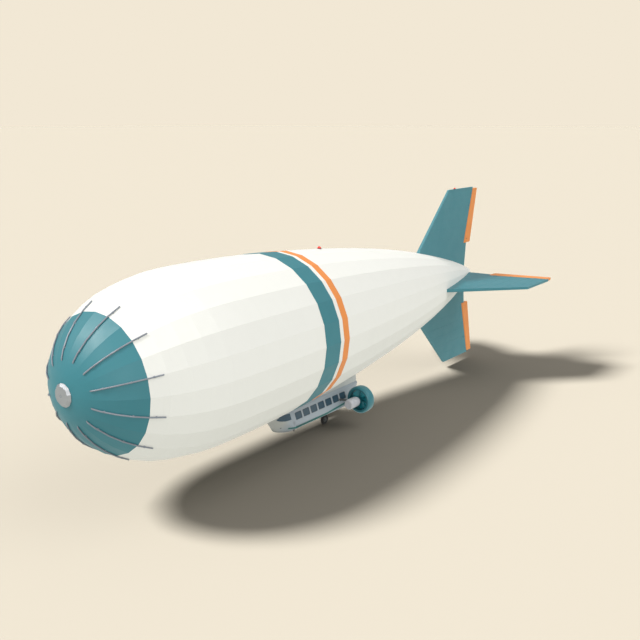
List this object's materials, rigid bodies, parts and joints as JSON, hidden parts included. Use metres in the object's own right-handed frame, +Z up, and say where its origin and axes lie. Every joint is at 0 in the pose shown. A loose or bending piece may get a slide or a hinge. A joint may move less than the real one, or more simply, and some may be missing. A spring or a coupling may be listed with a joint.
{
  "type": "non-rigid airship, 1:2 scale model",
  "caption": "Streamlined airship envelope with nose battens, cruciform tail, slung cabin, tilting ducted fans and a castoring wheel.",
  "frame": {"origin": "on the envelope's axis at its centre of lift, 10.9 m aft of the nose of the envelope", "axes": "+Y along the envelope towards the tail, +X to port, +Z up"},
  "size_m": [9.816, 29.015, 10.2413],
  "materials": {
    "white_fabric": "coated envelope fabric, satin",
    "teal_fabric": "coated fabric, satin teal",
    "orange_fabric": "coated fabric, satin orange",
    "cap_metal": "satin",
    "batten_metal": "satin",
    "lamp_red": "gloss red lens",
    "cabin_white": "painted composite, satin",
    "nacelle_white": "painted composite, satin",
    "duct_teal": "painted composite, satin",
    "fan_dark": "composite, satin",
    "fairing_grey": "coated fabric, satin",
    "slate_glass": "tinted, glossy",
    "seat_fabric": "woven",
    "panel_dark": "matte",
    "dark_steel": "satin dark paint",
    "hub_silver": "satin",
    "tyre_black": "rubber"
  },
  "bodies": {
    "root": {"envelope": "white_fabric", "nose_shell": "teal_fabric", "mooring_cap": "cap_metal", "batten_01": "batten_metal", "batten_02": "batten_metal", "batten_03": "batten_metal", "batten_04": "batten_metal", "batten_05": "batten_metal", "batten_06": "batten_metal", "batten_07": "batten_metal", "batten_08": "batten_metal", "batten_09": "batten_metal", "batten_10": "batten_metal", "batten_11": "batten_metal", "batten_12": "batten_metal", "belt_teal": "teal_fabric", "belt_orange": "orange_fabric", "fin_upper": "teal_fabric", "fin_port": "teal_fabric", "fin_lower": "teal_fabric", "fin_starboard": "teal_fabric", "beacon_top": "lamp_red", "beacon_fin": "lamp_red", "gondola_nose": "cabin_white", "gondola_tail": "cabin_white", "gondola_belly": "cabin_white", "gondola_roof": "cabin_white", "gondola_side_port": "cabin_white", "gondola_side_starboard": "cabin_white", "roof_fairing": "fairing_grey", "glass_port": "slate_glass", "glass_starboard": "slate_glass", "glass_cockpit_port": "slate_glass", "glass_cockpit_starboard": "slate_glass", "seats_pilots": "seat_fabric", "seats_port": "seat_fabric", "seats_starboard": "seat_fabric", "instrument_panel": "panel_dark", "outrigger_port": "dark_steel", "outrigger_starboard": "dark_steel", "gear_leg": "dark_steel"},
    "upper_rudder": {"rudder_upper": "orange_fabric"},
    "port_elevator": {"elevator_port": "orange_fabric"},
    "lower_rudder": {"rudder_lower": "orange_fabric"},
    "starboard_elevator": {"elevator_starboard": "orange_fabric"},
    "cabin_door": {"door": "cabin_white", "glass_door": "slate_glass"},
    "port_pod": {"nacelle_port": "nacelle_white", "duct_port": "duct_teal"},
    "port_fan": {"fan_port": "fan_dark"},
    "starboard_pod": {"nacelle_starboard": "nacelle_white", "duct_starboard": "duct_teal"},
    "starboard_fan": {"fan_starboard": "fan_dark"},
    "wheel_fork": {"gear_fork": "dark_steel"},
    "wheel": {"wheel_hub": "hub_silver", "wheel_tyre": "tyre_black"}
  },
  "joints": [
    {"name": "rudder_upper_swing", "type": "hinge", "parent": "root", "child": "upper_rudder", "pos_m": [0, 16.72, 1.79], "axis": [0, 0.2793, 0.9602], "range_deg": [-25, 25]},
    {"name": "elevator_port_swing", "type": "hinge", "parent": "root", "child": "port_elevator", "pos_m": [1.79, 16.72, 0], "axis": [0.9602, 0.2793, 0], "range_deg": [-25, 25]},
    {"name": "rudder_lower_swing", "type": "hinge", "parent": "root", "child": "lower_rudder", "pos_m": [0, 16.72, -1.79], "axis": [0, -0.2793, 0.9602], "range_deg": [-25, 25]},
    {"name": "elevator_starboard_swing", "type": "hinge", "parent": "root", "child": "starboard_elevator", "pos_m": [-1.79, 16.72, 0], "axis": [0.9602, -0.2793, 0], "range_deg": [-25, 25]},
    {"name": "door_hinge", "type": "hinge", "parent": "root", "child": "cabin_door", "pos_m": [-0.73797, 0.274, -3.96], "axis": [0.1783, 0, 0.984], "range_deg": [0, 110]},
    {"name": "port_tilt", "type": "hinge", "parent": "root", "child": "port_pod", "pos_m": [1.55, 3.58, -3.92], "axis": [1, 0, 0], "range_deg": [-120, 90]},
    {"name": "port_fan_spin", "type": "hinge", "parent": "port_pod", "child": "port_fan", "pos_m": [1.55, 4.09, -3.92], "axis": [0, 1, 0], "continuous": true},
    {"name": "starboard_tilt", "type": "hinge", "parent": "root", "child": "starboard_pod", "pos_m": [-1.55, 3.58, -3.92], "axis": [1, 0, 0], "range_deg": [-120, 90]},
    {"name": "starboard_fan_spin", "type": "hinge", "parent": "starboard_pod", "child": "starboard_fan", "pos_m": [-1.55, 4.09, -3.92], "axis": [0, 1, 0], "continuous": true},
    {"name": "castor_swivel", "type": "hinge", "parent": "root", "child": "wheel_fork", "pos_m": [0, 3.5, -4.66], "axis": [0, 0, 1], "continuous": true},
    {"name": "wheel_spin", "type": "hinge", "parent": "wheel_fork", "child": "wheel", "pos_m": [0, 3.32, -5.025], "axis": [1, 0, 0], "continuous": true}
  ]
}
